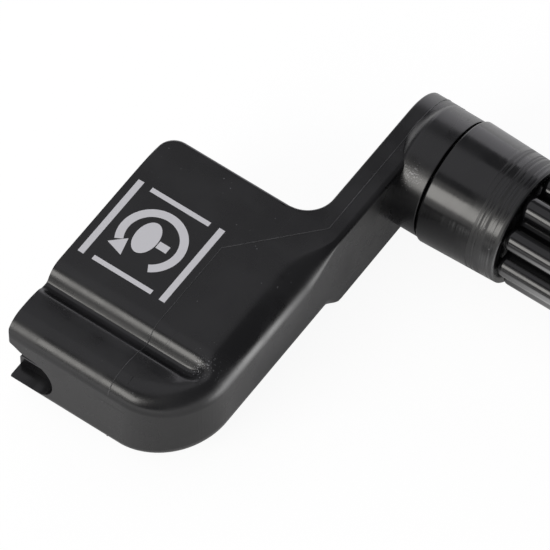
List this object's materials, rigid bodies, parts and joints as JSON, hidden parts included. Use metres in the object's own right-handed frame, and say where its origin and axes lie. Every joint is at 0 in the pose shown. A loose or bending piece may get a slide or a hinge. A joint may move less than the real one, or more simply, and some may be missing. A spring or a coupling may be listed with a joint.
{
  "type": "string winder",
  "caption": "Guitar string winder: flat crank with an open peg socket and a bridge-pin notch, on a fluted handle that spins freely.",
  "frame": {"origin": "bottom centre of the whole winder's bounding box as it lies flat with its front face up", "axes": "+X along the handle's axis from the socket's mouth to the handle's free end, +Y along the crank arm from socket to handle, +Z out of the front face"},
  "size_m": [0.1174, 0.0628, 0.0178],
  "materials": {
    "moulded_black": "glossy moulded black plastic with fine wear",
    "collar_black": "polished black plastic with fine turning marks",
    "grip_black": "glossy moulded black plastic",
    "cap_black": "satin moulded black plastic",
    "washer_white": "natural acetal",
    "axle_steel": "turned steel",
    "fastener_steel": "zinc-plated steel"
  },
  "bodies": {
    "crank": {"crank_body": "moulded_black", "axle_pin": "axle_steel", "thrust_washer": "washer_white", "retaining_washer": "fastener_steel", "retaining_screw": "fastener_steel"},
    "handle": {"handle_collar": "collar_black", "handle_grip": "grip_black", "end_cap": "cap_black"}
  },
  "joints": [
    {"name": "handle_spin", "type": "hinge", "parent": "crank", "child": "handle", "pos_m": [-0.02725, 0.02255, 0.0089], "axis": [1, 0, 0], "continuous": true}
  ]
}
